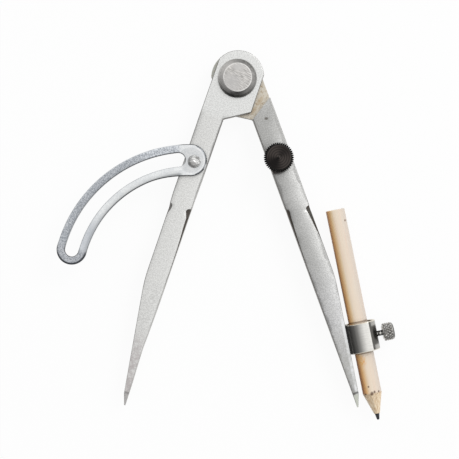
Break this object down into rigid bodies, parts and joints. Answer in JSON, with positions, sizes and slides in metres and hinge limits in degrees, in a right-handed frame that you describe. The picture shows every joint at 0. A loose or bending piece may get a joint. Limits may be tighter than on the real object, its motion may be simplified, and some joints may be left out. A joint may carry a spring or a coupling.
{
  "type": "wing compass",
  "caption": "Steel wing compass lying flat: two forged legs on a riveted pivot, a slotted arc, a knurled clamp screw, and a strap holder with a thumb screw and a wooden pencil.",
  "frame": {"origin": "on the axis of the legs' pivot, at the flat end of its rivet and washer, on the surface that the compass lies on", "axes": "+Z out of the front face, towards a viewer above; -Y from the pivot towards the points; +X to the right, on the side of the leg that carries the pencil"},
  "size_m": [0.1357, 0.1478, 0.0172],
  "materials": {
    "ground_steel": "ground and satin polished, with fine grinding marks",
    "rivet_steel": "turned, with a ground face",
    "zinc_plate": "pressed sheet with bluish zinc plate",
    "blackened_steel": "blackened, with turned rings and knurled rim",
    "gunmetal": "dark nickel, satin",
    "dull_nickel": "dull nickel, diamond knurled rim",
    "wood": "clear lacquered softwood, bare where it is cut",
    "graphite": "graphite"
  },
  "bodies": {
    "left_leg": {"left_leg": "ground_steel", "pivot_rivet": "rivet_steel", "pivot_washer": "rivet_steel", "wing_rivet": "rivet_steel"},
    "right_leg": {"right_leg": "ground_steel", "holder_strap": "gunmetal", "holder_rivet": "rivet_steel"},
    "wing": {"wing": "zinc_plate"},
    "clamp_stud": {"clamp_stud": "blackened_steel"},
    "clamp_knob": {"clamp_knob": "blackened_steel"},
    "thumb_screw": {"thumb_screw": "dull_nickel"},
    "thumb_knob": {"thumb_knob": "dull_nickel"},
    "pencil": {"pencil_wood": "wood", "pencil_lead": "graphite"}
  },
  "joints": [
    {"name": "leg_pivot", "type": "hinge", "parent": "left_leg", "child": "right_leg", "pos_m": [0, 0, 0.0055], "axis": [0, 0, 1], "range_deg": [-39, 141]},
    {"name": "wing_swing", "type": "hinge", "parent": "left_leg", "child": "wing", "pos_m": [-0.01728, -0.0336, 0.0098], "axis": [0, 0, 1], "range_deg": [-65, 95]},
    {"name": "clamp_lift", "type": "slide", "parent": "right_leg", "child": "clamp_stud", "axis": [0, 0, 1], "range_m": [0, 0.0072]},
    {"name": "clamp_turn", "type": "hinge", "parent": "clamp_stud", "child": "clamp_knob", "pos_m": [0.01629, -0.03217, 0.0098], "axis": [0, 0, 1], "range_deg": [0, 3240.5]},
    {"name": "thumb_feed", "type": "slide", "parent": "right_leg", "child": "thumb_screw", "axis": [0.9799, 0.1993, 0], "range_m": [0, 0.0015]},
    {"name": "thumb_turn", "type": "hinge", "parent": "thumb_screw", "child": "thumb_knob", "pos_m": [0.04958, -0.104, 0.0055], "axis": [0.9799, 0.1993, 0], "range_deg": [0, 1080.5]},
    {"name": "pencil_slide", "type": "slide", "parent": "right_leg", "child": "pencil", "axis": [0.1993, -0.9799, 0], "range_m": [-0.015, 0.04]}
  ],
  "couplings": [
    {"joint": "clamp_turn", "follows": "clamp_lift", "rad_per_m": 7854},
    {"joint": "thumb_turn", "follows": "thumb_feed", "rad_per_m": 12566}
  ]
}
